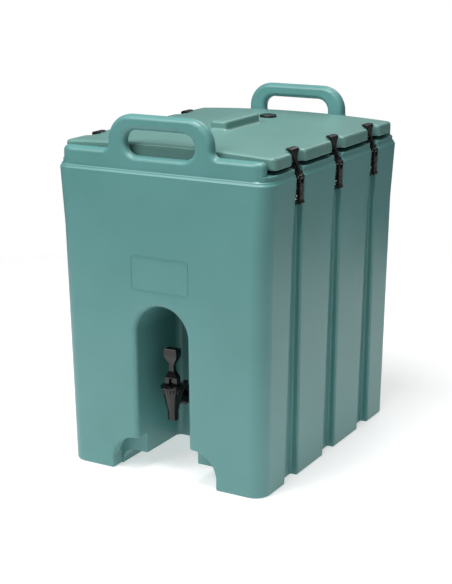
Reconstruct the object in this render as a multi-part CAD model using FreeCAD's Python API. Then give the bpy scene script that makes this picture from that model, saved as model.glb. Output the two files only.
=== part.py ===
import FreeCAD, Part
import math
import os
from FreeCAD import Vector, Rotation, Placement

# Insulated beverage carrier: double-wall rotomoulded body, lift-off lid held by
# six draw latches, and a lever tap in an arched recess at the front.
# Millimetres. X is the carrier's width, the tap side faces -Y, Z is up.
# The origin is the middle of the footprint, on the floor.

os.makedirs("parts", exist_ok=True)

# ---------------------------------------------------------------- main sizes
FOOT_HALF_W = 193.85        # half width at the floor
FOOT_HALF_D = 254.7         # half depth at the floor
FLARE_Z = 430.0             # the side walls start to flare out here
FLARE_HALF_W = 200.9
FLARE_HALF_D = 259.2
LIP_Z = 531.0               # widest line of the body, under the lid
LIP_HALF_W = 207.0
LIP_HALF_D = 260.3
RIM_HALF_W = 203.0          # body above the lip
RIM_HALF_D = 256.0
SEAT_Z = 545.6              # flat seat the lid closes on
CORNER_R = 28.0
WALL = 4.5                  # plastic skin of the body

RIDGE_Z = 568.0             # end walls that stand up beside the lid
RIDGE_INNER_Y = 234.0
WALL_CORNER_R = 10.0
WALL_EDGE_R = 9.0
HANDLE_HALF_W = 99.5
HANDLE_TOP_Z = 628.0
HANDLE_R = 45.0
GRIP_HALF_W = 67.0
GRIP_LOW_Z = 560.0
GRIP_HIGH_Z = 603.0

GROOVE_Y = [-148.7, 0.0, 148.7]
GROOVE_FLOOR_LOW = 180.0
GROOVE_FLOOR_HIGH = 190.0
GROOVE_HALF_LOW = 23.5
GROOVE_HALF_HIGH = 14.5

RECESS_HALF_W = 51.0
RECESS_ARCH_Z = 257.5
RECESS_BACK_Y = -120.0
SLOT_HALF_W = 104.0         # stacking slot for the handle of a carrier below
SLOT_Z = 64.0
SLOT_BACK_Y = 225.0
SLOT_EDGE_R = 3.0
TUNNEL_HALF_W = 103.0
TUNNEL_Z = 29.0
BASE_TOP_Z = 70.0           # the base pan, with the slots and the channel, ends here

TANK_HALF_W = 157.0
TANK_HALF_D = 207.0
TANK_LOW_HALF_W = 148.0
TANK_LOW_HALF_D = 199.0
TANK_FLOOR_Z = 106.0
TANK_STEP_Y = -88.0         # tank front, below the step over the tap recess
TANK_STEP_Z = 345.0
TANK_SPLIT_Z = 330.0        # the sump below the step is a solid of its own

LID_HALF_W = 203.0
LID_HALF_D = 231.5
LID_LOW_Z = 552.7
LID_TOP_Z = 579.5           # crown of the lid along its middle
LID_CROWN_R = 3000.0        # the top falls away to both sides on this radius
LID_NOTCH_X = 191.0
LID_PLUG_Z = 524.0
BAR_Y = 1.0                 # middle of the bar, front to rear
BAR_TOP_Z = 597.0
VENT_Y = 125.0

TAP_Y = -220.0
SHANK_Z = 132.0
FIT = 0.05                  # radial running clearance

RIVET_Z = [497.0, 515.0]
RIVET_R = 2.4
RIVET_END_X = 187.0


# ---------------------------------------------------------------- helpers
def unit(a, b):
    n = math.hypot(a, b)
    return a / n, b / n


def on_plane(plane, value, a, b):
    if plane == "xy":
        return Vector(a, b, value)
    if plane == "xz":
        return Vector(a, value, b)
    return Vector(value, a, b)


def outline(points, radii, plane, value):
    """Closed wire through the points, every corner with its own radius."""
    n = len(points)
    starts = []
    mids = []
    ends = []
    for i in range(n):
        px, py = points[i]
        ax, ay = points[i - 1]
        bx, by = points[(i + 1) % n]
        r = radii[i]
        ux, uy = unit(ax - px, ay - py)
        vx, vy = unit(bx - px, by - py)
        angle = math.acos(max(-1.0, min(1.0, ux * vx + uy * vy)))
        t = r / math.tan(angle / 2)
        sx, sy = unit(ux + vx, uy + vy)
        reach = r / math.sin(angle / 2) - r
        starts.append((px + ux * t, py + uy * t))
        ends.append((px + vx * t, py + vy * t))
        mids.append((px + sx * reach, py + sy * reach))
    edges = []
    for i in range(n):
        j = (i + 1) % n
        if radii[i] > 0:
            edges.append(Part.Arc(on_plane(plane, value, *starts[i]),
                                  on_plane(plane, value, *mids[i]),
                                  on_plane(plane, value, *ends[i])).toShape())
        gap = math.hypot(ends[i][0] - starts[j][0], ends[i][1] - starts[j][1])
        if gap > 1e-6:
            edges.append(Part.LineSegment(on_plane(plane, value, *ends[i]),
                                          on_plane(plane, value, *starts[j])).toShape())
    return Part.Wire(edges)


def extruded(points, radii, plane, low, high):
    """Solid between two parallel planes with a rounded outline."""
    face = Part.Face(outline(points, radii, plane, low))
    return face.extrude(on_plane(plane, high - low, 0, 0))


def rectangle(half_w, half_d):
    return [(-half_w, -half_d), (half_w, -half_d), (half_w, half_d), (-half_w, half_d)]


def box(x0, x1, y0, y1, z0, z1):
    return Part.makeBox(x1 - x0, y1 - y0, z1 - z0, Vector(x0, y0, z0))


def rod_z(r, z0, z1, x=0.0, y=0.0):
    return Part.makeCylinder(r, z1 - z0, Vector(x, y, z0), Vector(0, 0, 1))


def rod_y(r, y0, y1, x=0.0, z=0.0):
    return Part.makeCylinder(r, y1 - y0, Vector(x, y0, z), Vector(0, 1, 0))


def rod_x(r, x0, x1, y=0.0, z=0.0):
    return Part.makeCylinder(r, x1 - x0, Vector(x0, y, z), Vector(1, 0, 0))


def joined(shapes):
    out = shapes[0]
    for s in shapes[1:]:
        out = out.fuse(s)
    return out.removeSplitter()


def without(shape, tools):
    for t in tools:
        shape = shape.cut(t)
    return shape


def edges_at_z(shape, z, tol=0.02):
    return [e for e in shape.Edges
            if all(abs(v.Point.z - z) < tol for v in e.Vertexes)
            and abs(e.CenterOfMass.z - z) < tol]


def rounded(shape, radius, edges):
    return shape.makeFillet(radius, edges)


def save(name, shape):
    shape.exportStep("parts/" + name + ".step")
    b = shape.BoundBox
    print("%-20s solids %d  %.0f mm3  x %.1f..%.1f y %.1f..%.1f z %.1f..%.1f" % (
        name, len(shape.Solids), shape.Volume, b.XMin, b.XMax, b.YMin, b.YMax, b.ZMin, b.ZMax))


# ---------------------------------------------------------------- body
# Half width and half depth of the outside at each height.
LEVELS = [
    (0.0, FOOT_HALF_W, FOOT_HALF_D),
    (FLARE_Z, FLARE_HALF_W, FLARE_HALF_D),
    (LIP_Z, LIP_HALF_W, LIP_HALF_D),
    (LIP_Z + 2.6, LIP_HALF_W - 1.7, LIP_HALF_D - 1.7),
    (LIP_Z + 4.6, LIP_HALF_W - 1.9, LIP_HALF_D - 1.9),
    (LIP_Z + 7.2, RIM_HALF_W, RIM_HALF_D),
    (SEAT_Z, RIM_HALF_W, RIM_HALF_D),
]


def side_x(z):
    """Half width of the outside wall at one height."""
    for (z0, w0, d0), (z1, w1, d1) in zip(LEVELS, LEVELS[1:]):
        if z <= z1:
            return w0 + (w1 - w0) * (z - z0) / (z1 - z0)
    return RIM_HALF_W


def envelope(inset):
    """Outside of the moulded body up to the lid seat, moved in by inset."""
    wires = []
    for z, w, d in LEVELS:
        height = z
        if z == 0.0:
            height = inset
        if z == SEAT_Z:
            height = SEAT_Z - inset
        if inset > 0 and LIP_Z < z < SEAT_Z:
            continue
        r = max(CORNER_R - inset, 8.0)
        wires.append(outline(rectangle(w - inset, d - inset), [r] * 4, "xy", height))
    return Part.makeLoft(wires, True, True)


def end_wall(side):
    """Raised end wall with the carrying handle, side -1 front, +1 rear."""
    r = CORNER_R
    low = LIP_Z + 7.2
    profile = [(-230, low), (230, low), (230, RIDGE_Z), (HANDLE_HALF_W, RIDGE_Z),
               (HANDLE_HALF_W, HANDLE_TOP_Z), (-HANDLE_HALF_W, HANDLE_TOP_Z),
               (-HANDLE_HALF_W, RIDGE_Z), (-230, RIDGE_Z)]
    radii = [0, 0, 0, 11.0, HANDLE_R, HANDLE_R, 11.0, 0]
    blank = extruded(profile, radii, "xz", -300, 300)
    plan = extruded(rectangle(RIM_HALF_W, RIM_HALF_D), [r] * 4, "xy", low, HANDLE_TOP_Z + 10)
    wall = blank.common(plan)
    wall = wall.common(box(-300, 300, -300, -RIDGE_INNER_Y, 0, 700))
    grip = [(-GRIP_HALF_W, GRIP_LOW_Z), (GRIP_HALF_W, GRIP_LOW_Z),
            (GRIP_HALF_W, GRIP_HIGH_Z), (-GRIP_HALF_W, GRIP_HIGH_Z)]
    wall = wall.cut(extruded(grip, [21.0] * 4, "xz", -300, -200))
    upright = []
    for e in wall.Edges:
        c = e.CenterOfMass
        vertical = abs(e.Vertexes[0].Point.x - e.Vertexes[-1].Point.x) < 0.01
        if vertical and abs(abs(c.x) - 201) < 3 and abs(c.y + RIDGE_INNER_Y) < 0.5 and low + 2 < c.z < RIDGE_Z - 2:
            upright.append(e)
    wall = rounded(wall, WALL_CORNER_R, upright)
    top = []
    for e in wall.Edges:
        c = e.CenterOfMass
        zs = [v.Point.z for v in e.Vertexes]
        ys = [v.Point.y for v in e.Vertexes]
        on_front = all(abs(y + RIM_HALF_D) < 0.01 for y in ys) and abs(c.y + RIM_HALF_D) < 0.01
        on_back = all(abs(y + RIDGE_INNER_Y) < 0.01 for y in ys) and abs(c.y + RIDGE_INNER_Y) < 0.01
        on_top = all(abs(z - RIDGE_Z) < 0.01 for z in zs) and abs(c.z - RIDGE_Z) < 0.01
        if min(zs) > low + 1 and (on_front or on_back or on_top):
            if on_top and not (on_front or on_back) and abs(c.x) < 170:
                continue
            top.append(e)
    wall = rounded(wall, WALL_EDGE_R, top)
    if side > 0:
        wall = wall.mirror(Vector(0, 0, 0), Vector(0, 1, 0))
    return wall


def groove(yc, grow):
    """Cutter for one side groove on +X, with rounded lips and floor corners."""
    wires = []
    stations = [-2.0] + [lv[0] for lv in LEVELS[1:]] + [SEAT_Z + 6.0]
    for z in stations:
        face_x = side_x(max(z, 0.0))
        f = min(1.0, max(0.0, z) / 470.0)
        floor_x = GROOVE_FLOOR_LOW + (GROOVE_FLOOR_HIGH - GROOVE_FLOOR_LOW) * f - grow
        g = min(1.0, max(0.0, z) / LIP_Z)
        half = GROOVE_HALF_LOW + (GROOVE_HALF_HIGH - GROOVE_HALF_LOW) * g + grow
        lip = 5.0
        out_x = face_x + 0.35
        # the lip arc starts just outside the wall, so the cutter crosses it cleanly
        pts = []
        pts.append(Vector(face_x + 25, yc - half - lip, z))
        pts.append(Vector(out_x, yc - half - lip, z))
        pts.append(Vector(out_x - lip, yc - half, z))
        pts.append(Vector(floor_x + 3, yc - half, z))
        pts.append(Vector(floor_x, yc - half + 3, z))
        pts.append(Vector(floor_x, yc + half - 3, z))
        pts.append(Vector(floor_x + 3, yc + half, z))
        pts.append(Vector(out_x - lip, yc + half, z))
        pts.append(Vector(out_x, yc + half + lip, z))
        pts.append(Vector(face_x + 25, yc + half + lip, z))
        k = math.sqrt(0.5)
        lip_a = Vector(out_x - lip + lip * k, yc - half - lip + lip * k, z)
        lip_b = Vector(out_x - lip + lip * k, yc + half + lip - lip * k, z)
        in_a = Vector(floor_x + 3 - 3 * k, yc - half + 3 - 3 * k, z)
        in_b = Vector(floor_x + 3 - 3 * k, yc + half - 3 + 3 * k, z)
        edges = [
            Part.LineSegment(pts[0], pts[1]).toShape(),
            Part.Arc(pts[1], lip_a, pts[2]).toShape(),
            Part.LineSegment(pts[2], pts[3]).toShape(),
            Part.Arc(pts[3], in_a, pts[4]).toShape(),
            Part.LineSegment(pts[4], pts[5]).toShape(),
            Part.Arc(pts[5], in_b, pts[6]).toShape(),
            Part.LineSegment(pts[6], pts[7]).toShape(),
            Part.Arc(pts[7], lip_b, pts[8]).toShape(),
            Part.LineSegment(pts[8], pts[9]).toShape(),
            Part.LineSegment(pts[9], pts[0]).toShape(),
        ]
        wires.append(Part.Wire(edges))
    return Part.makeLoft(wires, True, True)


def grooves(grow):
    out = []
    for yc in GROOVE_Y:
        g = groove(yc, grow)
        out.append(g)
        m = g.mirror(Vector(0, 0, 0), Vector(1, 0, 0))
        out.append(m)
    return out


def recess(grow):
    """Arched tap recess, open at the floor."""
    w = RECESS_HALF_W + grow
    back = RECESS_BACK_Y + grow
    low = box(-w, w, -320, back, -5, RECESS_ARCH_Z)
    arch = rod_y(w, -320, back, 0, RECESS_ARCH_Z)
    tool = joined([low, arch])
    corners = []
    for e in tool.Edges:
        c = e.CenterOfMass
        if abs(c.y - back) < 0.01 and c.z > 0 and len(e.Vertexes) == 2:
            if all(abs(v.Point.y - back) < 0.01 for v in e.Vertexes):
                corners.append(e)
    return rounded(tool, 11.0, corners)


def end_slot(side, grow):
    """Notch that drops over the handle of the carrier below."""
    w = SLOT_HALF_W + grow
    pts = [(-w, -5), (w, -5), (w, SLOT_Z + grow), (-w, SLOT_Z + grow)]
    radii = [0, 0, 45.0 + grow, 45.0 + grow]
    tool = extruded(pts, radii, "xz", -320, -SLOT_BACK_Y + grow)
    if side > 0:
        tool = tool.mirror(Vector(0, 0, 0), Vector(0, 1, 0))
    return tool


def tunnel(grow):
    """Shallow channel under the body between the two foot rails."""
    w = TUNNEL_HALF_W + grow
    pts = [(-w, -5), (w, -5), (w, TUNNEL_Z + grow), (-w, TUNNEL_Z + grow)]
    radii = [0, 0, 24.0 + grow, 24.0 + grow]
    return extruded(pts, radii, "xz", -320, 320)


def tank(grow):
    """Liquid space, stepped back at the lower front behind the tap recess."""
    wires = []
    low = TANK_FLOOR_Z - grow
    high = SEAT_Z + 3.0
    r = 42.0 + grow
    wires.append(outline(rectangle(TANK_LOW_HALF_W + grow, TANK_LOW_HALF_D + grow), [r] * 4, "xy", low))
    wires.append(outline(rectangle(TANK_HALF_W + grow, TANK_HALF_D + grow), [r] * 4, "xy", high))
    space = Part.makeLoft(wires, True, True)
    step = box(-300, 300, -400, TANK_STEP_Y - grow, 0, TANK_STEP_Z - grow)
    space = space.cut(step)
    floor_edges = edges_at_z(space, low)
    return rounded(space, 8.0 + grow, floor_edges)


outside = envelope(0.0)
outside = rounded(outside, 4.0, edges_at_z(outside, 0.0))
lip_edges = edges_at_z(outside, LIP_Z) + edges_at_z(outside, LIP_Z + 4.6)
outside = rounded(outside, 1.1, lip_edges)
outside = rounded(outside, 2.2, edges_at_z(outside, SEAT_Z))

# Tap recess first, so its front edge can be rounded on plain faces.
outside = outside.cut(recess(0.0))
arch_edges = []
for e in outside.Edges:
    c = e.CenterOfMass
    if c.y < -240 and abs(c.x) <= RECESS_HALF_W + 0.5 and 60 < c.z < 330:
        xs = [abs(v.Point.x) for v in e.Vertexes]
        if max(xs) < RECESS_HALF_W + 0.5:
            arch_edges.append(e)
outside = rounded(outside, 9.0, arch_edges)
print("recess lip edges", len(arch_edges))

# Thin raised outline of the blank label panel on the front.
panel = [(-56, 334), (56, 334), (56, 394), (-56, 394)]
inner_panel = [(-54.6, 335.4), (54.6, 335.4), (54.6, 392.6), (-54.6, 392.6)]
frame = extruded(panel, [4.5] * 4, "xz", -300, -240)
frame = frame.cut(extruded(inner_panel, [3.1] * 4, "xz", -301, -239))
frame = frame.common(envelope(-0.7))
outside = joined([outside, frame])

outside = without(outside, [end_slot(-1, 0.0), end_slot(1, 0.0), tunnel(0.0)])
slot_edges = []
for e in outside.Edges:
    c = e.CenterOfMass
    if c.z < SLOT_Z + 2 and abs(c.y) > 245 and abs(c.x) < SLOT_HALF_W + 1:
        slot_edges.append(e)
outside = rounded(outside, SLOT_EDGE_R, slot_edges)
slot_corners = []
for e in outside.Edges:
    c = e.CenterOfMass
    at_recess = abs(abs(c.x) - RECESS_HALF_W) < 0.3 and abs(c.y + SLOT_BACK_Y) < 0.3
    if at_recess and TUNNEL_Z < c.z < SLOT_Z - 2:
        slot_corners.append(e)
outside = rounded(outside, 2.5, slot_corners)
outside = without(outside, grooves(0.0))
end_walls = {"front": end_wall(-1), "rear": end_wall(1)}
outside = without(outside, end_walls.values())

# Foam space between the two skins.
bore = rod_y(12.0, -140, -70, 0, SHANK_Z)
bore_sleeve = rod_y(16.5, -140, -70, 0, SHANK_Z)
foam = envelope(WALL)
foam = foam.cut(recess(WALL))
foam = without(foam, [end_slot(-1, WALL), end_slot(1, WALL), tunnel(WALL)])
foam = without(foam, grooves(WALL))
foam = foam.cut(tank(WALL))
foam = foam.cut(bore_sleeve)
foam = without(foam, end_walls.values())

fill = (60.0, 60.0)
fill_hole = rod_z(11.0, TUNNEL_Z - 1, TUNNEL_Z + WALL + 3, *fill)
foam = foam.cut(rod_z(11.0, TUNNEL_Z, TUNNEL_Z + WALL + 3, *fill))
shell = outside.cut(tank(WALL))
shell = shell.cut(bore)
shell = shell.cut(foam)
shell = shell.cut(fill_hole)
liner = tank(WALL).cut(tank(0.0))
liner = liner.common(box(-300, 300, -300, 300, 0, SEAT_Z))
liner = liner.cut(bore)
sump = liner.common(box(-300, 300, -300, 300, 0, TANK_SPLIT_Z))
liner = liner.common(box(-300, 300, -300, 300, TANK_SPLIT_Z, SEAT_Z))
for yc in GROOVE_Y:
    for z in RIVET_Z:
        shell = shell.cut(rod_x(RIVET_R, RIVET_END_X, 192.0, yc, z))
        shell = shell.cut(rod_x(RIVET_R, -192.0, -RIVET_END_X, yc, z))

# The moulding is kept as a few simple solids that meet face to face.
recess_space = joined([recess(WALL), bore_sleeve])
recess_liner = shell.common(recess_space)
shell = shell.cut(recess_space)
base = shell.common(box(-300, 300, -300, 300, -10, BASE_TOP_Z))
shell = shell.common(box(-300, 300, -300, 300, BASE_TOP_Z, 700))
save("body_shell", shell)
save("base_pan", base)
save("tap_recess", recess_liner)
save("end_wall_front", end_walls["front"])
save("end_wall_rear", end_walls["rear"])
save("tank_liner", liner)
save("tank_sump", sump)
save("body_foam", foam)
print("tank litres below the lid plug %.1f" % (
    tank(0.0).common(box(-300, 300, -300, 300, 0, LID_PLUG_Z)).Volume / 1e6))

plug_disc = rod_z(13.5, TUNNEL_Z - 1.6, TUNNEL_Z - 0.05, *fill)
plug_disc = rounded(plug_disc, 0.8, edges_at_z(plug_disc, TUNNEL_Z - 1.6))
plug_stem = rod_z(11.0 - FIT, TUNNEL_Z - 0.05, TUNNEL_Z + 6.0, *fill)
save("body_foam_plug", joined([plug_disc, plug_stem]))


# ---------------------------------------------------------------- lid
def lid_points():
    """Lid outline with a notch at every latch, anticlockwise from front left."""
    pts = [(-LID_HALF_W, -LID_HALF_D), (LID_HALF_W, -LID_HALF_D)]
    radii = [10.0, 10.0]
    for yc in GROOVE_Y:
        pts += [(LID_HALF_W, yc - 25), (LID_NOTCH_X, yc - 21), (LID_NOTCH_X, yc + 21), (LID_HALF_W, yc + 25)]
        radii += [7.0, 5.0, 5.0, 7.0]
    pts += [(LID_HALF_W, LID_HALF_D), (-LID_HALF_W, LID_HALF_D)]
    radii += [10.0, 10.0]
    for yc in reversed(GROOVE_Y):
        pts += [(-LID_HALF_W, yc + 25), (-LID_NOTCH_X, yc + 21), (-LID_NOTCH_X, yc - 21), (-LID_HALF_W, yc - 25)]
        radii += [7.0, 5.0, 5.0, 7.0]
    return pts, radii


def slab(half_w, half_d, r, z0, z1, y=0.0):
    pts = [(a, b + y) for a, b in rectangle(half_w, half_d)]
    return extruded_z(pts, [r] * 4, z0, z1)


def extruded_z(points, radii, z0, z1):
    face = Part.Face(outline(points, radii, "xy", z0))
    return face.extrude(Vector(0, 0, z1 - z0))


def tapered(half_w, half_d, r, z_high, half_w2, half_d2, z_low):
    a = outline(rectangle(half_w2, half_d2), [r] * 4, "xy", z_low)
    b = outline(rectangle(half_w, half_d), [r] * 4, "xy", z_high)
    return Part.makeLoft([a, b], True, True)


crown = rod_y(LID_CROWN_R, -300, 300, 0, LID_TOP_Z - LID_CROWN_R)
plate = extruded_z(*lid_points(), LID_LOW_Z, LID_TOP_Z + 5).common(crown)
plate = rounded(plate, 2.0, edges_at_z(plate, LID_LOW_Z))
plate = rounded(plate, 5.5, [e for e in plate.Edges if min(v.Point.z for v in e.Vertexes) > LID_TOP_Z - 9])

bar = slab(17.0, 61.0, 6.0, 565.0, BAR_TOP_Z, BAR_Y)
bar = rounded(bar, 5.5, edges_at_z(bar, BAR_TOP_Z))
vent_boss = rod_z(18.5, 570.0, LID_TOP_Z + 1.0, 0, VENT_Y)
top = joined([plate, bar])
foot = []
for e in top.Edges:
    b = e.BoundBox
    near = abs(b.XMin) < 18 and abs(b.XMax) < 18 and b.YMin > BAR_Y - 62 and b.YMax < BAR_Y + 62
    if near and LID_TOP_Z - 1 < b.ZMin and b.ZMax < LID_TOP_Z + 0.5:
        foot.append(e)
print("bar foot edges", len(foot))
top = rounded(top, 6.0, foot)
top = joined([top, vent_boss])

plug = tapered(152.5, 202.0, 38.0, LID_LOW_Z + 1.0, 149.5, 199.0, LID_PLUG_Z)
plug = rounded(plug, 6.0, edges_at_z(plug, LID_PLUG_Z))
lid = joined([top, plug])

seal_outer = slab(183.5, 221.5, 32.0, 545.9, LID_LOW_Z + 4.0)
seal_inner = slab(171.5, 209.5, 20.0, 545.0, LID_LOW_Z + 5.0)
gasket = seal_outer.cut(seal_inner)
gasket = rounded(gasket, 2.5, edges_at_z(gasket, 545.9))
channel = slab(183.5, 221.5, 32.0, LID_LOW_Z - 1.0, LID_LOW_Z + 4.0)
channel = channel.cut(seal_inner)

lid_foam = slab(186.5, 226.5, 20.0, 561.2, 568.0)
plug_foam = tapered(148.3, 197.8, 34.0, 562.0, 145.3, 194.8, LID_PLUG_Z + 4.0)
plug_foam = rounded(plug_foam, 3.0, edges_at_z(plug_foam, LID_PLUG_Z + 4.0))
bar_foam = slab(12.5, 56.5, 3.0, 567.0, BAR_TOP_Z - 4.5, BAR_Y)
lid_foam = joined([lid_foam, plug_foam, bar_foam])
lid_foam = lid_foam.cut(rod_z(9.0, 500, 600, 0, VENT_Y))

vent_bore = rod_z(5.0, 500, 600, 0, VENT_Y)
lid_fill = (60.0, 0.0)
lid_fill_hole = rod_z(11.0, LID_PLUG_Z - 1, LID_PLUG_Z + 7, *lid_fill)
lid_foam = lid_foam.cut(rod_z(11.0, LID_PLUG_Z, LID_PLUG_Z + 6, *lid_fill))
lid = without(lid, [channel, vent_bore, lid_foam, lid_fill_hole])
save("lid_shell", lid)
save("lid_foam", lid_foam)
save("lid_gasket", gasket)

lid_disc = rod_z(13.5, LID_PLUG_Z - 1.6, LID_PLUG_Z - 0.05, *lid_fill)
lid_disc = rounded(lid_disc, 0.8, edges_at_z(lid_disc, LID_PLUG_Z - 1.6))
lid_stem = rod_z(11.0 - FIT, LID_PLUG_Z - 0.05, LID_PLUG_Z + 6.0, *lid_fill)
save("lid_foam_plug", joined([lid_disc, lid_stem]))

# Pull-up vent cap with its seal, on the small raised ring behind the bar.
cap = rod_z(15.8, LID_TOP_Z + 2.2, LID_TOP_Z + 5.6, 0, VENT_Y)
cap = rounded(cap, 1.8, edges_at_z(cap, LID_TOP_Z + 5.6))
cap_stem = rod_z(5.0 - FIT, 531.0, LID_TOP_Z + 3.5, 0, VENT_Y)
cross_vent = rod_x(1.6, -8, 8, VENT_Y, 548.0)
save("vent_cap", joined([cap, cap_stem]).cut(cross_vent))
vent_seal = rod_z(14.6, LID_TOP_Z + 1.1, LID_TOP_Z + 2.2, 0, VENT_Y)
vent_seal = vent_seal.cut(rod_z(5.0 - FIT, 570, 590, 0, VENT_Y))
save("vent_seal", vent_seal)


# ---------------------------------------------------------------- latches
A_X, A_Z = 199.6, 534.0     # lever turns here, in the ears of the base
B_X, B_Z = 204.2, 531.0     # hook turns here, in the lever
PIN_R = 2.0
BASE_HALF = 10.2            # half widths of the base plate, the lever and the hook's knuckle
LEVER_HALF = 7.8
KNUCKLE_HALF = 4.2


def sym_extruded(points, radii, half):
    return extruded(points, radii, "xz", -half, half)


def ring_y(r, half, x, z):
    return rod_y(r, -half, half, x, z)


def latch_base():
    plate_pts = [(-BASE_HALF, 483), (BASE_HALF, 483), (BASE_HALF, 546.5), (-BASE_HALF, 546.5)]
    out = extruded(plate_pts, [3.0] * 4, "yz", GROOVE_FLOOR_HIGH + 0.05, 195.5)
    ear = [(192, 522), (203.8, 527.5), (203.8, 539), (192, 544)]
    gap = LEVER_HALF + 0.3
    ears = sym_extruded(ear, [0, 4.0, 4.0, 0], BASE_HALF).cut(box(180, 220, -gap, gap, 500, 560))
    out = joined([out, ears])
    out = out.cut(ring_y(PIN_R, 30, A_X, A_Z))
    for z in RIVET_Z:
        out = out.cut(rod_x(RIVET_R, 180, 200, 0, z))
    return out


def latch_lever():
    cheek = [(A_X - 3.8, A_Z), (A_X - 3.8, 529.5), (202.4, 519), (203.4, 489),
             (207.3, 489), (207.9, 522), (B_X + 4.6, B_Z), (B_X, B_Z + 4.6), (A_X, A_Z + 3.8)]
    gap = KNUCKLE_HALF + 0.4
    cheeks = sym_extruded(cheek, [0, 1.5, 3.0, 0.8, 0, 6.0, 0, 0, 0], LEVER_HALF)
    cheeks = joined([cheeks, ring_y(3.8, LEVER_HALF, A_X, A_Z), ring_y(4.6, LEVER_HALF, B_X, B_Z)])
    cheeks = cheeks.cut(box(180, 230, -gap, gap, 400, 600))
    front = [(204.6, 487), (209.6, 487), (209.2, 490), (207.3, 493.5), (207.3, 522.5), (204.6, 522.5)]
    front = sym_extruded(front, [1.0, 1.2, 2.0, 4.0, 1.2, 1.0], LEVER_HALF)
    out = joined([cheeks, front])
    for z in (496.5, 501.5, 506.5, 511.5, 516.5):
        out = joined([out, ring_y(0.8, LEVER_HALF - 1.5, 207.2, z)])
    out = out.cut(ring_y(PIN_R + FIT, 30, A_X, A_Z))
    out = out.cut(ring_y(PIN_R, 30, B_X, B_Z))
    return out


def latch_hook():
    strip = [(183.8, 574.8), (192.6, 574.8), (192.6, 560), (202.6, 534), (206.2, 534),
             (196.0, 561), (196.0, 577.8), (183.8, 577.8)]
    side_view = sym_extruded(strip, [0.6, 2.2, 6.0, 0, 0, 6.0, 4.6, 1.0], 13.0)
    side_view = joined([side_view, ring_y(4.3, 13.0, B_X, B_Z)])
    neck = KNUCKLE_HALF - 1.2
    front_view = [(-KNUCKLE_HALF, 500), (KNUCKLE_HALF, 500), (KNUCKLE_HALF, 537), (neck, 543), (neck, 552),
                  (8.6, 568), (13.0, 573.4), (13.0, 600), (-13.0, 600), (-13.0, 573.4), (-8.6, 568),
                  (-neck, 552), (-neck, 543), (-KNUCKLE_HALF, 537)]
    corners = [0, 0, 2, 2, 8, 5, 2, 0, 0, 2, 5, 8, 2, 2]
    out = side_view.common(extruded(front_view, corners, "yz", 150, 250))
    return out.cut(ring_y(PIN_R + FIT, 30, B_X, B_Z))


def lever_pins():
    left = rod_y(PIN_R, -BASE_HALF, -KNUCKLE_HALF - 0.6, A_X, A_Z)
    right = rod_y(PIN_R, KNUCKLE_HALF + 0.6, BASE_HALF, A_X, A_Z)
    return [left, right]


def hook_pin():
    return ring_y(PIN_R, LEVER_HALF, B_X, B_Z)


def rivets():
    out = []
    for z in RIVET_Z:
        head = rod_x(4.5, 195.5, 198.2, 0, z)
        rim = [e for e in head.Edges if abs(e.CenterOfMass.x - 198.2) < 0.01]
        head = rounded(head, 0.9, rim)
        shank = rod_x(RIVET_R, RIVET_END_X, 195.5, 0, z)
        eye = rod_x(2.0, 196.2, 199, 0, z)
        out.append(joined([head, shank]).cut(eye))
    return out


def placed(shape, side, yc):
    """Move a part drawn for the +X side at y = 0 to its own latch."""
    s = shape.copy()
    if side < 0:
        s.rotate(Vector(0, 0, 0), Vector(0, 0, 1), 180)
    s.translate(Vector(0, yc, 0))
    return s


latch_plate = latch_base()
lever = latch_lever()
hook = latch_hook()
pins = []
rivet_set = []
number = 0
for side in (1, -1):
    for yc in GROOVE_Y:
        number += 1
        tag = "_%d" % number
        save("latch_base" + tag, placed(latch_plate, side, yc))
        save("latch_lever" + tag, placed(lever, side, yc))
        save("latch_hook" + tag, placed(hook, side, yc))
        save("latch_hook_pin" + tag, placed(hook_pin(), side, yc))
        pins += [placed(p, side, yc) for p in lever_pins()]
        rivet_set += [placed(r, side, yc) for r in rivets()]
save("latch_lever_pins", Part.makeCompound(pins))
save("latch_rivets", Part.makeCompound(rivet_set))


# ---------------------------------------------------------------- tap
def turned(profile, x=0.0, y=0.0):
    """Solid of revolution about a vertical axis from (radius, z) points."""
    pts = [Vector(x + r, y, z) for r, z in profile]
    wire = Part.makePolygon(pts + [pts[0]])
    return Part.Face(wire).revolve(Vector(x, y, 0), Vector(0, 0, 1), 360)


TAP_LOW_Z = 99.0
TAP_RIM_Z = 156.0
PIN_Z = 169.3

body = turned([(0, TAP_LOW_Z), (8.8, TAP_LOW_Z), (9.4, TAP_LOW_Z + 0.8), (9.6, 116), (16.9, 147), (17.4, 149.5),
               (17.4, TAP_RIM_Z), (0, TAP_RIM_Z)], 0, TAP_Y)
inlet = rod_y(10.5, TAP_Y + 4, -178.0, 0, SHANK_Z)
inlet_flange = rod_y(12.6, -184.0, -180.1, 0, SHANK_Z)
tap = joined([body, inlet, inlet_flange])
chamber = turned([(0, TAP_LOW_Z - 1), (7.0, TAP_LOW_Z - 1), (6.2, 112), (6.2, 122), (9.8, 130), (13.6, 149), (13.6, 157), (0, 157)],
                 0, TAP_Y)
tap = without(tap, [chamber, rod_y(6.5, TAP_Y, -177, 0, SHANK_Z)])
save("tap_body", tap)

nut = rod_y(16.0, -190.0, -171.0, 0, SHANK_Z)
nut_rims = [e for e in nut.Edges if len(e.Vertexes) == 1]
nut = rounded(nut, 1.6, nut_rims)
for k in range(3):
    lug_pts = [(-5.2, 10), (5.2, 10), (4.2, 26), (-4.2, 26)]
    lug_pts = [(a, b + SHANK_Z) for a, b in lug_pts]
    lug = extruded(lug_pts, [0, 0, 3.0, 3.0], "xz", -187.0, -176.0)
    lug.rotate(Vector(0, -180, SHANK_Z), Vector(0, 1, 0), 120 * k)
    nut = joined([nut, lug])
nut = nut.cut(rod_y(10.6, -200, -160, 0, SHANK_Z))
nut = nut.cut(rod_y(13.6, -184.05, -160, 0, SHANK_Z))
save("tap_union_nut", nut)

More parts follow.
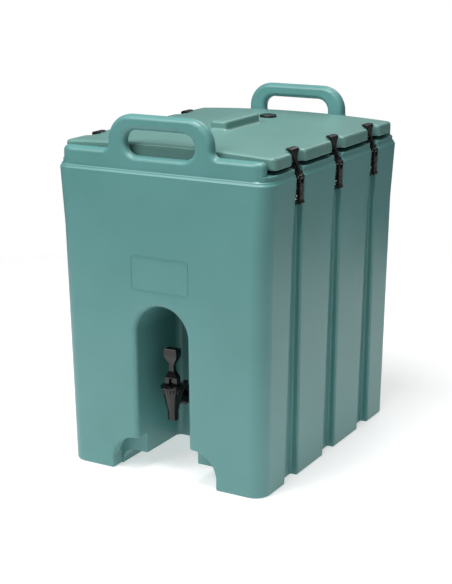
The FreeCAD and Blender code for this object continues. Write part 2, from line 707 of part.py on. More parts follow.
shank = joined([rod_y(13.55, -180.0, -165.0, 0, SHANK_Z), rod_y(11.6, -165.5, -74.0, 0, SHANK_Z),
                rod_y(20.0, -125.5, -122.0, 0, SHANK_Z)])
shank = shank.cut(rod_y(6.5, -200, -60, 0, SHANK_Z))
shank = shank.cut(rod_y(10.6, -181, -177.9, 0, SHANK_Z))
save("tap_shank", shank)
washer = rod_y(18.5, -122.0, RECESS_BACK_Y - 0.05, 0, SHANK_Z).cut(rod_y(11.65, -130, -110, 0, SHANK_Z))
save("tap_outer_washer", washer)
inner_washer = rod_y(15.8, TANK_STEP_Y + 0.05, TANK_STEP_Y + 2.0, 0, SHANK_Z).cut(rod_y(11.65, -95, -80, 0, SHANK_Z))
save("tap_inner_washer", inner_washer)
inner_nut = rod_y(15.6, TANK_STEP_Y + 2.0, TANK_STEP_Y + 11.0, 0, SHANK_Z)
for k in range(8):
    a = math.radians(45 * k)
    inner_nut = inner_nut.cut(rod_y(2.0, -95, -70, 16.4 * math.cos(a), SHANK_Z + 16.4 * math.sin(a)))
inner_nut = inner_nut.cut(rod_y(11.6, -95, -70, 0, SHANK_Z))
save("tap_inner_nut", inner_nut)

bonnet = turned([(0, 150), (18.4, 150), (18.9, 151), (19.0, 157.5), (21.2, 158.3), (21.2, 160.6),
                 (20.2, 161.4), (14.0, 163.0), (0, 163.0)], 0, TAP_Y)
for k in range(20):
    a = math.radians(18 * k)
    bonnet = bonnet.cut(rod_z(1.1, 149, 157.5, 19.4 * math.cos(a), TAP_Y + 19.4 * math.sin(a)))
bonnet = bonnet.cut(turned([(0, 149), (17.45, 149), (17.45, TAP_RIM_Z + 0.1), (0, TAP_RIM_Z + 0.1)], 0, TAP_Y))
bonnet = bonnet.cut(rod_z(3.5 + FIT, 140, 170, 0, TAP_Y))
save("tap_bonnet", bonnet)

stem = rod_z(3.5, 126.0, 172.5, 0, TAP_Y)
stem = stem.cut(rod_x(1.5, -20, 20, TAP_Y, PIN_Z))
save("tap_stem", stem)
cup = turned([(0, 122.6), (5.9, 122.6), (8.0, 127.6), (8.0, 134), (4.6, 136), (0, 136)], 0, TAP_Y)
cup = cup.cut(rod_z(3.5, 126.0, 140, 0, TAP_Y))
save("tap_seat_cup", cup)
save("tap_pin", rod_x(1.5, -11.6, 11.6, TAP_Y, PIN_Z))

wide = [(-12, 163.3), (12, 163.3), (12, 177), (4.6, 188), (4.4, 200), (12.5, 213.5), (12.5, 228),
        (-12.5, 228), (-12.5, 213.5), (-4.4, 200), (-4.6, 188), (-12, 177)]
wide_r = [0, 0, 5.0, 9.0, 9.0, 4.0, 3.0, 3.0, 4.0, 9.0, 9.0, 5.0]
paddle = extruded(wide, wide_r, "xz", TAP_Y - 20, TAP_Y + 20)
thin = [(TAP_Y + a, b) for a, b in [(-6, 163.3), (6, 163.3), (6, 176), (4, 188), (4, 202), (8.2, 215), (8.2, 228),
                                   (-8.2, 228), (-8.2, 215), (-4, 202), (-4, 188), (-6, 176)]]
thin_r = [1.0, 1.0, 4.0, 9.0, 9.0, 4.0, 2.0, 2.0, 4.0, 9.0, 9.0, 4.0]
paddle = paddle.common(extruded(thin, thin_r, "yz", -30, 30))
paddle = paddle.cut(box(-3.7, 3.7, TAP_Y - 20, TAP_Y + 20, 150, 174.5))
paddle = paddle.cut(rod_x(1.5 + FIT, -20, 20, TAP_Y, PIN_Z))
save("tap_lever", paddle)
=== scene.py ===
# %% [markdown]
# # Insulated drink carrier
# The real carrier is a double-wall box of rotomoulded polyethylene, with a lift-off lid, six
# black draw latches and a black lever tap in an arched recess. The CAD model is loaded first,
# as a fixed frame. It holds every size, so the looks are built around it and nothing is moved.

# %% Load the frame
import bmesh
import bpy
import math
from mathutils import Matrix, Vector


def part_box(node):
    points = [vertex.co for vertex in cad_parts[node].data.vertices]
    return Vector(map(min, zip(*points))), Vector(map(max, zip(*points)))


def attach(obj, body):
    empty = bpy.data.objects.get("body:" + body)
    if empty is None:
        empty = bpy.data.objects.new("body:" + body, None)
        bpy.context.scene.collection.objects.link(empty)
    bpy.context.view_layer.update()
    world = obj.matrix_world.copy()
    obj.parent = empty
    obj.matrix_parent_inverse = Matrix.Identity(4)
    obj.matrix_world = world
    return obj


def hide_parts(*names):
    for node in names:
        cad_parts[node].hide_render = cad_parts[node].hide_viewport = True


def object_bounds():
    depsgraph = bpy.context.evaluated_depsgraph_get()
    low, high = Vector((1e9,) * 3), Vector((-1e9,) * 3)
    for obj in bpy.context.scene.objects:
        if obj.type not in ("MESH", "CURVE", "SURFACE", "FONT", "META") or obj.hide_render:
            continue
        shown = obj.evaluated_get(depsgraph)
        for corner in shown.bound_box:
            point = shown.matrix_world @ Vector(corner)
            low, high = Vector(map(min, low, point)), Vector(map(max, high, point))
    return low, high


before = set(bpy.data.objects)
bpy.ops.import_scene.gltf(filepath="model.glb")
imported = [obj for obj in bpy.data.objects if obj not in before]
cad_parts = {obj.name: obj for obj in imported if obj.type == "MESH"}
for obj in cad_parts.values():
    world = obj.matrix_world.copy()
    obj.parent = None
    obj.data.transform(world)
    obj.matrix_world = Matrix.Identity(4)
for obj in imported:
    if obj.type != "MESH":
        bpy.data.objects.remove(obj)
cad_low, cad_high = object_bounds()
MM = 0.001
print("CAD box in mm:", [round(v / MM, 1) for v in (cad_high - cad_low)])

# %% [markdown]
# ## Four small helpers
# Colours are easiest to choose as sRGB hex values, as paint charts print them, but shaders work
# in linear light, so one function converts them. A second adds any node, to a material or to
# Geometry Nodes, with its options and with a value or a link for each input. A third starts a
# material and gives back the parts that every finish needs. The last turns a real size in
# millimetres into a texture scale.


# %% Colour, node and material helpers
def linear(hex_colour):
    """sRGB hex to linear RGBA."""
    out = []
    for i in (0, 2, 4):
        c = int(hex_colour[i:i + 2], 16) / 255
        out.append(c / 12.92 if c <= 0.04045 else ((c + 0.055) / 1.055) ** 2.4)
    return (*out, 1.0)


def add(tree, kind, inputs=None, **options):
    """One node. An input is a plain value, or the socket that feeds it."""
    node = tree.nodes.new(kind)
    for option, value in options.items():
        setattr(node, option, value)
    for key, value in (inputs or {}).items():
        if isinstance(value, bpy.types.NodeSocket):
            tree.links.new(value, node.inputs[key])
        else:
            node.inputs[key].default_value = value
    return node


def new_finish(name, constants):
    """A material with a Principled shader; the constants sit on the shader's own sockets."""
    material = bpy.data.materials.new(name)
    material.use_nodes = True
    tree = material.node_tree
    shader = tree.nodes["Principled BSDF"]
    for key, value in constants.items():
        shader.inputs[key].default_value = value
    place = add(tree, "ShaderNodeTexCoord").outputs["Object"]
    return material, tree, shader, place


def per_metre(size_mm):
    """Texture scale that gives one pattern cell every size_mm on the object."""
    return 1.0 / (size_mm * MM)


print("helpers ready")

# %% [markdown]
# ## Rotomoulded polyethylene
# Rotomoulding melts powder onto the inside of a heated steel mould. The outside copies the
# blasted mould, which leaves a fine pebble about a millimetre wide, and the skin shrinks as it
# cools, which leaves slow waves a few centimetres long and a trace of uneven colour. Both are
# bumps from noise in Object coordinates, so they keep their real size on every piece. The skin
# is satin: an IOR of 1.5 with a roughness near 0.4 that drifts a little from place to place.


# %% The polyethylene finish
def rotomoulded_polyethylene(name, shade, pale, roughness):
    material, tree, shader, place = new_finish(name, {"IOR": 1.5, "Specular IOR Level": 0.5})
    cloud = add(tree, "ShaderNodeTexNoise",
                {"Vector": place, "Scale": per_metre(160), "Detail": 3.0, "Roughness": 0.55})
    speck = add(tree, "ShaderNodeTexNoise",
                {"Vector": place, "Scale": per_metre(3.2), "Detail": 2.0, "Roughness": 0.6})
    drift = add(tree, "ShaderNodeMapRange",
                {"Value": cloud.outputs["Fac"], "From Min": 0.3, "From Max": 0.7, "To Max": 0.75})
    grain = add(tree, "ShaderNodeMapRange",
                {"Value": speck.outputs["Fac"], "From Min": 0.3, "From Max": 0.7, "To Max": 0.25})
    share = add(tree, "ShaderNodeMath", {0: drift.outputs[0], 1: grain.outputs[0]}, operation="ADD")
    tone = add(tree, "ShaderNodeMix",
               {"Factor": share.outputs[0], "A": linear(shade), "B": linear(pale)}, data_type="RGBA")
    tree.links.new(tone.outputs["Result"], shader.inputs["Base Color"])
    gloss = add(tree, "ShaderNodeMapRange",
                {"Value": cloud.outputs["Fac"], "To Min": roughness - 0.05, "To Max": roughness + 0.06})
    tree.links.new(gloss.outputs[0], shader.inputs["Roughness"])
    pebble = add(tree, "ShaderNodeTexVoronoi",
                 {"Vector": place, "Scale": per_metre(1.5), "Smoothness": 1.0}, feature="SMOOTH_F1")
    wave = add(tree, "ShaderNodeTexNoise", {"Vector": place, "Scale": per_metre(38), "Detail": 1.0})
    slow = add(tree, "ShaderNodeBump",
               {"Height": wave.outputs["Fac"], "Strength": 0.35, "Distance": 0.9 * MM})
    fine = add(tree, "ShaderNodeBump",
               {"Height": pebble.outputs["Distance"], "Strength": 0.22, "Distance": 0.10 * MM,
                "Normal": slow.outputs["Normal"]})
    tree.links.new(fine.outputs["Normal"], shader.inputs["Normal"])
    return material


body_plastic = rotomoulded_polyethylene("teal_rotomoulded_polyethylene", "558B88", "5F9593", 0.36)
lid_plastic = rotomoulded_polyethylene("teal_lid_polyethylene", "608B85", "69948E", 0.33)
print("made", body_plastic.name, "and", lid_plastic.name)

# %% [markdown]
# ## The black plastics, metal, rubber and foam
# The latches are glass-filled nylon, moulded in a lightly textured tool: near black, satin, with
# a fine random grain. The tap is unfilled polypropylene from a polished tool, so it is glossy and
# its reflections ripple slightly. Rivets are nickel-plated steel and the pins are drawn stainless
# rod. Each recipe differs only in colour, gloss and grain, so one function makes the plain ones.


# %% Moulded and metal finishes
def grained_finish(name, shade, pale, roughness, grain_mm, grain_height, constants):
    material, tree, shader, place = new_finish(name, constants)
    grain = add(tree, "ShaderNodeTexNoise",
                {"Vector": place, "Scale": per_metre(grain_mm), "Detail": 3.0, "Roughness": 0.6})
    patch = add(tree, "ShaderNodeTexNoise",
                {"Vector": place, "Scale": per_metre(grain_mm * 14), "Detail": 2.0})
    tone = add(tree, "ShaderNodeMix",
               {"Factor": patch.outputs["Fac"], "A": linear(shade), "B": linear(pale)}, data_type="RGBA")
    tree.links.new(tone.outputs["Result"], shader.inputs["Base Color"])
    gloss = add(tree, "ShaderNodeMapRange",
                {"Value": patch.outputs["Fac"], "To Min": roughness * 0.8, "To Max": roughness * 1.2})
    tree.links.new(gloss.outputs[0], shader.inputs["Roughness"])
    bump = add(tree, "ShaderNodeBump",
               {"Height": grain.outputs["Fac"], "Strength": 0.5, "Distance": grain_height * MM})
    tree.links.new(bump.outputs["Normal"], shader.inputs["Normal"])
    return material


black_nylon = grained_finish("black_glass_filled_nylon", "0B0909", "171414", 0.28, 0.6, 0.04, {"IOR": 1.53})
tap_plastic = grained_finish("black_gloss_polypropylene", "080607", "120F10", 0.13, 5.0, 0.05, {"IOR": 1.49})
nickel = grained_finish("nickel_plated_steel", "C9C5BE", "E4E0D8", 0.22, 0.8, 0.01, {"Metallic": 1.0})
stainless = grained_finish("drawn_stainless_steel", "A9A8A5", "C6C5C1", 0.30, 0.5, 0.01, {"Metallic": 1.0})
rubber = grained_finish("black_moulded_rubber", "151516", "232324", 0.62, 0.5, 0.03, {"IOR": 1.52})
silicone = grained_finish("translucent_silicone", "BFBAB1", "D5D0C8", 0.45, 0.7, 0.02, {"IOR": 1.41})
foam_plastic = grained_finish("rigid_polyurethane_foam", "D9CC98", "EBE2B8", 0.85, 0.9, 0.35, {"IOR": 1.5})
plug_plastic = grained_finish("teal_spun_polyethylene_plug", "56857F", "628F8B", 0.42, 1.2, 0.05,
                              {"IOR": 1.5})
print("made", len(bpy.data.materials), "finishes")

# %% [markdown]
# ## From CAD triangles to a moulded skin
# The CAD solids arrive as loose flat triangles. A mould maker never leaves a knife edge, and a
# smooth skin needs shared corners, so each piece is a copy whose corners are merged and whose
# flat triangles are dissolved into whole faces. Where CAD left a sharp edge, a small Bevel breaks
# it. Weighted Normals keep flats flat while the fillets shade round. Their threshold is an area
# in square metres, so it is zero here: all the faces of this object are small by that measure.


# %% The finished-piece helper
def merged_mesh(name, nodes):
    """Copy of one or more CAD nodes with shared corners."""
    bm = bmesh.new()
    for node in nodes:
        bm.from_mesh(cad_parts[node].data)
    bmesh.ops.remove_doubles(bm, verts=bm.verts, dist=0.002 * MM)
    bmesh.ops.dissolve_degenerate(bm, edges=bm.edges, dist=0.001 * MM)
    mesh = bpy.data.meshes.new(name)
    bm.to_mesh(mesh)
    bm.free()
    return mesh


def whole_faces(mesh, angle=0.15):
    """Dissolves the triangulation of flat faces."""
    bm = bmesh.new()
    bm.from_mesh(mesh)
    bmesh.ops.dissolve_limit(bm, angle_limit=math.radians(angle), verts=bm.verts, edges=bm.edges,
                             use_dissolve_boundaries=False)
    bm.to_mesh(mesh)
    bm.free()


def new_piece(name, mesh, material, body):
    piece = bpy.data.objects.new(name, mesh)
    bpy.context.scene.collection.objects.link(piece)
    mesh.materials.clear()
    mesh.materials.append(material)
    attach(piece, body)
    return piece


def soften(piece, edge_mm, angle=38.0, full_width=True):
    """Smooth shading. Sharp edges get a small bevel, narrowed where it would not fit."""
    piece.data.shade_smooth()
    piece.data.set_sharp_from_angle(angle=math.radians(angle))
    if edge_mm:
        bevel = piece.modifiers.new("broken edges", "BEVEL")
        bevel.width = edge_mm * MM
        bevel.segments = 2
        bevel.use_clamp_overlap = not full_width
        bevel.limit_method = "ANGLE"
        bevel.angle_limit = math.radians(angle)
        bevel.miter_outer = "MITER_ARC"
    weighted = piece.modifiers.new("flat faces stay flat", "WEIGHTED_NORMAL")
    weighted.mode = "FACE_AREA"
    weighted.weight = 100
    weighted.thresh = 0.0
    weighted.keep_sharp = not edge_mm
    return piece


def finished_copy(node, material, body, edge_mm, angle=38.0, full_width=True):
    """A smooth piece that stands for one CAD node."""
    mesh = merged_mesh(node + "_skin", [node])
    whole_faces(mesh)
    piece = new_piece(node + "_finished", mesh, material, body)
    soften(piece, edge_mm, angle, full_width=full_width)
    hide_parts(node)
    return piece


print("helpers ready")

# %% [markdown]
# ## The body moulding
# On the real carrier the outer wall, feet, tap recess, end walls with their handles and the tank
# are one seamless moulding. The CAD model keeps them as solids that meet face to face. Joined
# with exact booleans they become one skin again, with no seam line where two solids met.


# %% Join the body
BODY_NODES = ["body_shell", "base_pan", "tap_recess", "end_wall_front", "end_wall_rear",
              "tank_liner", "tank_sump"]


def united(name, nodes):
    """One mesh from several touching solids."""
    base = bpy.data.objects.new(name, merged_mesh(name, nodes[:1]))
    bpy.context.scene.collection.objects.link(base)
    others = []
    for node in nodes[1:]:
        other = bpy.data.objects.new(node + "_tool", merged_mesh(node + "_tool", [node]))
        bpy.context.scene.collection.objects.link(other)
        others.append(other)
        union = base.modifiers.new(node, "BOOLEAN")
        union.operation = "UNION"
        union.solver = "EXACT"
        union.object = other
    graph = bpy.context.evaluated_depsgraph_get()
    mesh = bpy.data.meshes.new_from_object(base.evaluated_get(graph))
    for extra in [base, *others]:
        bpy.data.objects.remove(extra)
    return mesh


body_mesh = united("body_moulding", BODY_NODES)
whole_faces(body_mesh)
body = new_piece("body_moulding", body_mesh, body_plastic, "carrier_body")
soften(body, 0.0)                # its edges are rounded in CAD already
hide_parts(*BODY_NODES)
print("body moulding:", len(body.data.polygons), "faces")

# %% [markdown]
# ## The lid and its seal
# The lid is a second moulding, closed underneath by a plug that fills the tank's neck, with a
# rubber seal pressed into a groove around it. The plug of each foam filling hole is spun in after
# foaming. All of these shapes are right in CAD, so each only needs its smooth skin.

# %% Lid pieces
lid = finished_copy("lid_shell", lid_plastic, "lid", 0.0)
seal = finished_copy("lid_gasket", rubber, "lid", 0.0)
lid_plug = finished_copy("lid_foam_plug", plug_plastic, "lid", 0.0)
body_plug = finished_copy("body_foam_plug", plug_plastic, "carrier_body", 0.0)
vent_cap = finished_copy("vent_cap", black_nylon, "vent", 0.0)
vent_seal = finished_copy("vent_seal", rubber, "vent", 0.0)
for foam_node in ("body_foam", "lid_foam"):
    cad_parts[foam_node].material_slots[0].material = foam_plastic
print("lid:", len(lid.data.polygons), "faces")

# %% [markdown]
# ## The draw latches
# Each latch is a base plate riveted in a groove, a lever that turns in the plate's ears, and a
# hook strap that turns in the lever and catches the lid's edge. Lever and hook move on their own
# bodies, so each is its own piece. The six are alike, so one loop finishes them.

# %% Latch pieces
LATCHES = range(1, 7)
for n in LATCHES:
    lever_body = "latch_lever_body_%d" % n
    finished_copy("latch_base_%d" % n, black_nylon, "carrier_body", 0.35,
                  full_width=False)
    finished_copy("latch_hook_%d" % n, black_nylon, "latch_hook_body_%d" % n, 0.5)
    finished_copy("latch_hook_pin_%d" % n, stainless, lever_body, 0.2)
finished_copy("latch_lever_pins", stainless, "carrier_body", 0.2)
print("finished", len(LATCHES), "latches")

# %% [markdown]
# ## Geometry Nodes helpers
# Rivets, finger ribs and the knurl of the tap's bonnet all repeat, so Geometry Nodes make them.
# One helper starts a tree with named inputs, one joins parts, and one ends a tree with its
# material. The last runs it and gives back a plain mesh, so that no modifier is left on the
# finished piece.


# %% Start and run a tree
def new_tree(name, inputs):
    """A Geometry Nodes tree with named inputs and one geometry output."""
    tree = bpy.data.node_groups.new(name, "GeometryNodeTree")
    tree.interface.new_socket("Geometry", in_out="INPUT", socket_type="NodeSocketGeometry")
    sockets = {}
    for label, kind in inputs.items():
        sockets[label] = tree.interface.new_socket(label, in_out="INPUT", socket_type=kind)
    tree.interface.new_socket("Geometry", in_out="OUTPUT", socket_type="NodeSocketGeometry")
    start = tree.nodes.new("NodeGroupInput")
    end = tree.nodes.new("NodeGroupOutput")
    return tree, sockets, start.outputs, end


def join(tree, *parts):
    """All the parts as one geometry."""
    node = add(tree, "GeometryNodeJoinGeometry")
    for part in parts:
        tree.links.new(part, node.inputs[0])
    return node.outputs[0]


def end_tree(tree, geometry, finish, end):
    """Sets the material on the result and gives it out."""
    coated = add(tree, "GeometryNodeSetMaterial", {"Geometry": geometry, "Material": finish})
    tree.links.new(coated.outputs[0], end.inputs[0])


def run_tree(name, mesh, tree, sockets, values):
    """Runs a tree on a mesh and gives back the plain result."""
    source = bpy.data.objects.new(name, mesh)
    modifier = source.modifiers.new(tree.name, "NODES")
    modifier.node_group = tree
    for label, value in values.items():
        modifier[sockets[label].identifier] = value
    bpy.context.scene.collection.objects.link(source)
    graph = bpy.context.evaluated_depsgraph_get()
    out = bpy.data.meshes.new_from_object(source.evaluated_get(graph))
    bpy.data.objects.remove(source)
    return out


print("tree helpers ready")

# %% [markdown]
# ## Lever ribs
# The face of each lever is ribbed across, so that a wet finger can pull it open. A Mesh Line gives
# one point for each rib, at a pitch usual for such a grip, and a small cylinder laid across the
# lever goes on every point. The lever's own skin joins them in the tree, so each lever stays one
# piece on its own body.

# %% The rib tree
rib_tree, rib_in, given, end = new_tree("lever ribs", {
    "Count": "NodeSocketInt", "Pitch": "NodeSocketFloat", "Rib Radius": "NodeSocketFloat",
    "Rib Length": "NodeSocketFloat", "Lowest Rib": "NodeSocketVector", "Finish": "NodeSocketMaterial"})
step = add(rib_tree, "ShaderNodeCombineXYZ", {"Z": given["Pitch"]})
line = add(rib_tree, "GeometryNodeMeshLine",
           {"Count": given["Count"], "Start Location": given["Lowest Rib"], "Offset": step.outputs[0]})
rod = add(rib_tree, "GeometryNodeMeshCylinder",
          {"Vertices": 16, "Radius": given["Rib Radius"], "Depth": given["Rib Length"]})
laid = add(rib_tree, "GeometryNodeInstanceOnPoints",
           {"Points": line.outputs[0], "Instance": rod.outputs["Mesh"], "Rotation": (math.pi / 2, 0, 0)})
ribs = add(rib_tree, "GeometryNodeRealizeInstances", {"Geometry": laid.outputs[0]})
lever_set = join(rib_tree, given["Geometry"], ribs.outputs[0])
end_tree(rib_tree, lever_set, given["Finish"], end)
print("rib tree has", len(rib_tree.nodes), "nodes")

# %% Levers with their ribs
RIB_PITCH = 2.6 * MM
RIB_RADIUS = 0.95 * MM
RIB_COUNT = 10
RIB_MARGIN = 8.5 * MM         # from the lever's lower end to its first rib
RIB_SHORTER = 2.4 * MM        # than the lever is wide
FACE_INSET = 2.2 * MM         # of the grip's face behind the lever's outermost point
for n in LATCHES:
    node = "latch_lever_%d" % n
    low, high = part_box(node)
    side = 1 if low.x > 0 else -1
    face_x = (high.x if side > 0 else low.x) - side * FACE_INSET
    first = Vector((face_x, (low.y + high.y) / 2, low.z + RIB_MARGIN))
    skin = merged_mesh(node + "_skin", [node])
    whole_faces(skin)
    ribbed = run_tree(node + "_form", skin, rib_tree, rib_in, {
        "Count": RIB_COUNT, "Pitch": RIB_PITCH, "Rib Radius": RIB_RADIUS,
        "Rib Length": (high.y - low.y) - RIB_SHORTER, "Lowest Rib": first, "Finish": black_nylon})
    lever = new_piece(node + "_finished", ribbed, black_nylon, "latch_lever_body_%d" % n)
    soften(lever, 0.25)
    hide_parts(node)
print("ribs per lever:", RIB_COUNT)

# %% [markdown]
# ## Tubular rivets
# Two tubular rivets hold each base plate. The head of such a rivet is a rolled ring with a hole
# in its middle. The tree puts one on each of twelve points: a ring made by sweeping a small circle
# along a large one, and a short barrel, both turned to face outwards.

# %% Rivet centres from the frame
RIVET_SPREAD = 4.5 * MM
low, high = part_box("latch_rivets")
rivet_x = high.x
rivet_rows = []
for n in LATCHES:
    plate_low, plate_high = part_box("latch_base_%d" % n)
    side = 1 if plate_low.x > 0 else -1
    for z in (low.z + RIVET_SPREAD, high.z - RIVET_SPREAD):
        rivet_rows.append((Vector((side * rivet_x, (plate_low.y + plate_high.y) / 2, z)), side))
print(len(rivet_rows), "rivets, heads at x =", round(rivet_x / MM, 1), "mm")


# %% The rivet tree
rivet_tree, rivet_in, given, end = new_tree("tubular rivets", {
    "Head Radius": "NodeSocketFloat", "Roll Radius": "NodeSocketFloat", "Barrel Depth": "NodeSocketFloat",
    "Finish": "NodeSocketMaterial"})
rim_radius = add(rivet_tree, "ShaderNodeMath",
                 {0: given["Head Radius"], 1: given["Roll Radius"]}, operation="SUBTRACT")
rim_line = add(rivet_tree, "GeometryNodeCurvePrimitiveCircle",
               {"Resolution": 32, "Radius": rim_radius.outputs[0]})
roll = add(rivet_tree, "GeometryNodeCurvePrimitiveCircle",
           {"Resolution": 12, "Radius": given["Roll Radius"]})
rim = add(rivet_tree, "GeometryNodeCurveToMesh",
          {"Curve": rim_line.outputs[0], "Profile Curve": roll.outputs[0]})
barrel = add(rivet_tree, "GeometryNodeMeshCylinder",
             {"Vertices": 32, "Radius": rim_radius.outputs[0], "Depth": given["Barrel Depth"]})
half = add(rivet_tree, "ShaderNodeMath", {0: given["Barrel Depth"], 1: -0.5}, operation="MULTIPLY")
drop = add(rivet_tree, "ShaderNodeCombineXYZ", {"Z": half.outputs[0]})
sunk = add(rivet_tree, "GeometryNodeTransform",
           {"Geometry": barrel.outputs["Mesh"], "Translation": drop.outputs[0]})
form = join(rivet_tree, rim.outputs[0], sunk.outputs[0])
outward = add(rivet_tree, "GeometryNodeInputNamedAttribute", {"Name": "outward"}, data_type="FLOAT_VECTOR")
facing = add(rivet_tree, "FunctionNodeAlignRotationToVector", {"Vector": outward.outputs[0]}, axis="Z")
placed = add(rivet_tree, "GeometryNodeInstanceOnPoints",
             {"Points": given["Geometry"], "Instance": form, "Rotation": facing.outputs[0]})
solid = add(rivet_tree, "GeometryNodeRealizeInstances", {"Geometry": placed.outputs[0]})
smooth = add(rivet_tree, "GeometryNodeSetShadeSmooth", {"Geometry": solid.outputs[0]})
end_tree(rivet_tree, smooth.outputs[0], given["Finish"], end)
print("rivet tree has", len(rivet_tree.nodes), "nodes")

# %% Set the rivets
HEAD_RADIUS = 4.5 * MM
ROLL_RADIUS = 1.0 * MM
BARREL_DEPTH = 8.0 * MM
points = bpy.data.meshes.new("rivet_points")
points.from_pydata([head - Vector((side * ROLL_RADIUS, 0, 0)) for head, side in rivet_rows], [], [])
outwards = points.attributes.new("outward", "FLOAT_VECTOR", "POINT")
for row, (_, side) in zip(outwards.data, rivet_rows):
    row.vector = (side, 0, 0)
rivet_mesh = run_tree("rivets", points, rivet_tree, rivet_in, {
    "Head Radius": HEAD_RADIUS, "Roll Radius": ROLL_RADIUS, "Barrel Depth": BARREL_DEPTH,
    "Finish": nickel})
rivets = new_piece("tubular_rivets", rivet_mesh, nickel, "carrier_body")
rivets.data.set_sharp_from_angle(angle=math.radians(38))
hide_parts("latch_rivets")
print("rivets:", len(rivets.data.polygons), "faces")

# %% [markdown]
# ## The tap
# The tap is a turned valve body with a spout, a ribbed bonnet screwed over it, a paddle lever
# and a union nut that holds it on its shank. The turned shapes only need smooth skins, and the
# paddle gets a wide bevel, because that part is a thick soft-edged moulding. The bonnet's ribs
# stand in a ring, so a tree puts them on the points of a circle.

# %% The knurl tree
knurl_tree, knurl_in, given, end = new_tree("bonnet knurl", {
    "Count": "NodeSocketInt", "Ring Radius": "NodeSocketFloat", "Rib Radius": "NodeSocketFloat",
    "Rib Height": "NodeSocketFloat", "Centre": "NodeSocketVector", "Finish": "NodeSocketMaterial"})
ring = add(knurl_tree, "GeometryNodeMeshCircle",
           {"Vertices": given["Count"], "Radius": given["Ring Radius"]})
bead = add(knurl_tree, "GeometryNodeMeshCylinder",
           {"Vertices": 12, "Radius": given["Rib Radius"], "Depth": given["Rib Height"]})
stood = add(knurl_tree, "GeometryNodeInstanceOnPoints",
            {"Points": ring.outputs[0], "Instance": bead.outputs["Mesh"]})
moved = add(knurl_tree, "GeometryNodeTransform",
            {"Geometry": stood.outputs[0], "Translation": given["Centre"]})
beads = add(knurl_tree, "GeometryNodeRealizeInstances", {"Geometry": moved.outputs[0]})
bonnet_set = join(knurl_tree, given["Geometry"], beads.outputs[0])
end_tree(knurl_tree, bonnet_set, given["Finish"], end)
print("knurl tree has", len(knurl_tree.nodes), "nodes")

# %% The bonnet
SKIRT_RADIUS = 18.9 * MM
SKIRT_HEIGHT = 7.0 * MM
SKIRT_LIFT = 0.4 * MM         # of the ribs above the bonnet's lower edge
KNURL_COUNT = 24
KNURL_RADIUS = 1.0 * MM
low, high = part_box("tap_bonnet")
skirt_middle = (low + high) / 2
skirt_middle.z = low.z + SKIRT_LIFT + SKIRT_HEIGHT / 2
skin = merged_mesh("tap_bonnet_skin", ["tap_bonnet"])
whole_faces(skin)
knurled = run_tree("tap_bonnet_form", skin, knurl_tree, knurl_in, {
    "Count": KNURL_COUNT, "Ring Radius": SKIRT_RADIUS, "Rib Radius": KNURL_RADIUS,
    "Rib Height": SKIRT_HEIGHT, "Centre": skirt_middle, "Finish": tap_plastic})
bonnet = new_piece("tap_bonnet_finished", knurled, tap_plastic, "carrier_body")
soften(bonnet, 0.0, 30.0)
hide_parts("tap_bonnet")
print("bonnet:", len(bonnet.data.polygons), "faces")

# %% Tap pieces
finished_copy("tap_body", tap_plastic, "carrier_body", 0.0, 30.0)
finished_copy("tap_union_nut", tap_plastic, "carrier_body", 0.6)
finished_copy("tap_shank", tap_plastic, "carrier_body", 0.4)
finished_copy("tap_inner_nut", tap_plastic, "carrier_body", 0.4)
finished_copy("tap_outer_washer", rubber, "carrier_body", 0.0)
finished_copy("tap_inner_washer", rubber, "carrier_body", 0.0)
finished_copy("tap_stem", tap_plastic, "tap_valve", 0.2)
finished_copy("tap_seat_cup", silicone, "tap_valve", 0.0)
finished_copy("tap_pin", stainless, "tap_valve", 0.2)
finished_copy("tap_lever", tap_plastic, "tap_handle", 1.1, 25.0, full_width=False)
print("tap finished")

# %% [markdown]
# ## Floor, light and camera
# A plain pale floor and soft studio light show the moulding as a catalogue does. The floor glows
# a little, as a light table does, so that it stays white behind the carrier. A dim white room
# fills the shadows, a large panel to the front left models the faces and a weak one lights the
# latch side. Two more, overhead and behind, draw soft lines along the lid's edges and handles.

# %% Floor
FLOOR_RADIUS = 1.5            # beyond it the white room is seen
FLOOR_CORNERS = 96
turns = [2 * math.pi * k / FLOOR_CORNERS for k in range(FLOOR_CORNERS)]
floor_mesh = bpy.data.meshes.new("floor")
floor_mesh.from_pydata([(FLOOR_RADIUS * math.cos(t), FLOOR_RADIUS * math.sin(t), 0) for t in turns],
                       [], [tuple(range(FLOOR_CORNERS))])
floor = bpy.data.objects.new("floor", floor_mesh)
bpy.context.scene.collection.objects.link(floor)
floor_paint, floor_tree, floor_shader, _ = new_finish("pale_studio_floor", {"Roughness": 0.9})
floor_shader.inputs["Base Color"].default_value = linear("DADADA")
floor_shader.inputs["Emission Color"].default_value = linear("FFFFFF")
floor_shader.inputs["Emission Strength"].default_value = 0.52
floor_mesh.materials.append(floor_paint)
print("floor laid")

# %% Lights
centre = (cad_low + cad_high) / 2
FILL_STRENGTH = 0.13          # what the white room adds to every face
BACKDROP_STRENGTH = 1.0       # how bright the backdrop itself looks


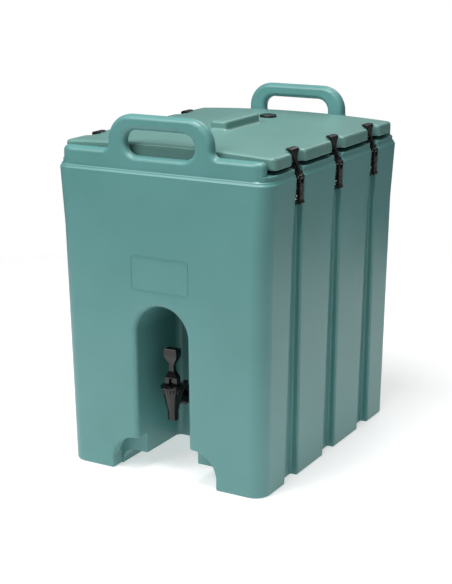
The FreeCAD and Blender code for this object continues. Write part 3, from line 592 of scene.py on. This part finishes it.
def soft_panel(name, azimuth, elevation, distance, size, power):
    """A square area light that looks at the middle of the carrier."""
    a = math.radians(azimuth)
    e = math.radians(elevation)
    away = Vector((math.sin(a) * math.cos(e), -math.cos(a) * math.cos(e), math.sin(e)))
    data = bpy.data.lights.new(name, "AREA")
    data.shape = "SQUARE"
    data.size = size
    data.energy = power
    lamp = bpy.data.objects.new(name, data)
    lamp.location = centre + away * distance
    lamp.rotation_euler = (-away).to_track_quat("-Z", "Y").to_euler()
    bpy.context.scene.collection.objects.link(lamp)


# name: azimuth, elevation, distance in metres, size in metres, power in watts
PANELS = {
    "front_left_panel": (-24.0, 44.0, 2.6, 1.3, 36.0),
    "side_panel": (48.0, 28.0, 2.2, 0.9, 3.2),
    "overhead_panel": (10.0, 74.0, 2.0, 0.7, 30.0),
    "rear_panel": (178.0, 50.0, 2.2, 1.2, 12.0),
}
for name, settings in PANELS.items():
    soft_panel(name, *settings)
world = bpy.data.worlds.new("studio")
bpy.context.scene.world = world
world.use_nodes = True
world_tree = world.node_tree
seen_directly = add(world_tree, "ShaderNodeLightPath").outputs["Is Camera Ray"]
strength = add(world_tree, "ShaderNodeMapRange",
               {"Value": seen_directly, "To Min": FILL_STRENGTH, "To Max": BACKDROP_STRENGTH})
world_tree.nodes["Background"].inputs["Color"].default_value = (1, 1, 1, 1)
world_tree.links.new(strength.outputs[0], world_tree.nodes["Background"].inputs["Strength"])
bpy.context.scene.view_settings.view_transform = "Standard"
print("lights set")

# %% Camera
CAMERA_AZIMUTH = 29.704       # degrees round to the right of the tap side
CAMERA_ELEVATION = 15.38
CAMERA_ROLL = -0.193
CAMERA_DISTANCE = 2.5117
CAMERA_LENS = 84.15
aim = Vector((-0.0196, 0.0, 0.2719))
a = math.radians(CAMERA_AZIMUTH)
e = math.radians(CAMERA_ELEVATION)
back = Vector((math.sin(a) * math.cos(e), -math.cos(a) * math.cos(e), math.sin(e)))
camera_data = bpy.data.cameras.new("camera")
camera_data.lens = CAMERA_LENS
camera_data.sensor_width = 36.0
camera = bpy.data.objects.new("camera", camera_data)
look = (-back).to_track_quat("-Z", "Y")
camera.matrix_world = (Matrix.Translation(aim + back * CAMERA_DISTANCE)
                       @ look.to_matrix().to_4x4()
                       @ Matrix.Rotation(math.radians(CAMERA_ROLL), 4, "Z"))
bpy.context.scene.collection.objects.link(camera)
bpy.context.scene.camera = camera
print("camera at", [round(v, 3) for v in camera.location])
